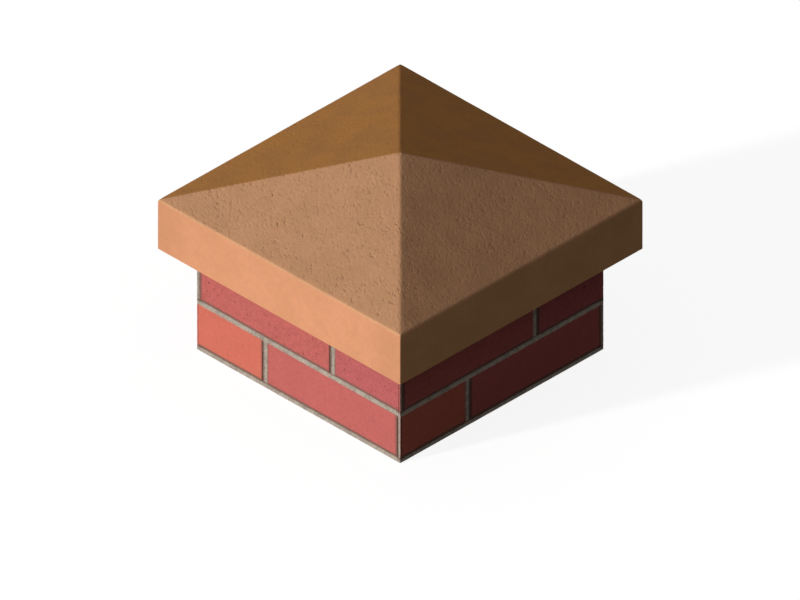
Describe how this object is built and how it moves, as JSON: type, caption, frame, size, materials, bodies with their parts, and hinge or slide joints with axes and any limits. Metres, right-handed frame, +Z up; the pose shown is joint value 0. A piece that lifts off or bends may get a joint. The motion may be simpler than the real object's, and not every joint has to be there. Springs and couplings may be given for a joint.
{
  "type": "fence post cap",
  "caption": "Square pyramid cap of cast stone with overhanging edges, bedded on the brick head of a fence pier.",
  "frame": {"origin": "centre of the underside of the pier head", "axes": "+Z up; the front of the pier faces -Y and its right-hand side faces +X"},
  "size_m": [0.4, 0.4, 0.2775],
  "materials": {
    "cast_stone": "matt, cast face with small pits on the weathered slopes",
    "brick": "matt, fired clay with a fine sanded texture",
    "mortar": "matt, sandy",
    "concrete": "matt, rough",
    "grout": "matt, smooth",
    "steel": "drawn stainless bar with cut ends",
    "damp_proof_sheet": "matt, embossed polyethylene",
    "sleeve": "matt, extruded tube"
  },
  "bodies": {
    "root": {"cap_stone": "cast_stone", "dowel_grout": "grout", "fixing_dowel": "steel", "cap_bed_upper": "mortar", "damp_proof_course": "damp_proof_sheet", "cap_bed_lower": "mortar", "upper_brick_front": "brick", "upper_brick_right": "brick", "upper_brick_back": "brick", "upper_brick_left": "brick", "upper_cross_joints": "mortar", "upper_corner_pointing": "mortar", "bed_joint": "mortar", "lower_brick_front": "brick", "lower_brick_right": "brick", "lower_brick_back": "brick", "lower_brick_left": "brick", "lower_cross_joints": "mortar", "lower_corner_pointing": "mortar", "base_joint": "mortar", "core_concrete": "concrete", "socket_sleeve": "sleeve"}
  },
  "joints": []
}
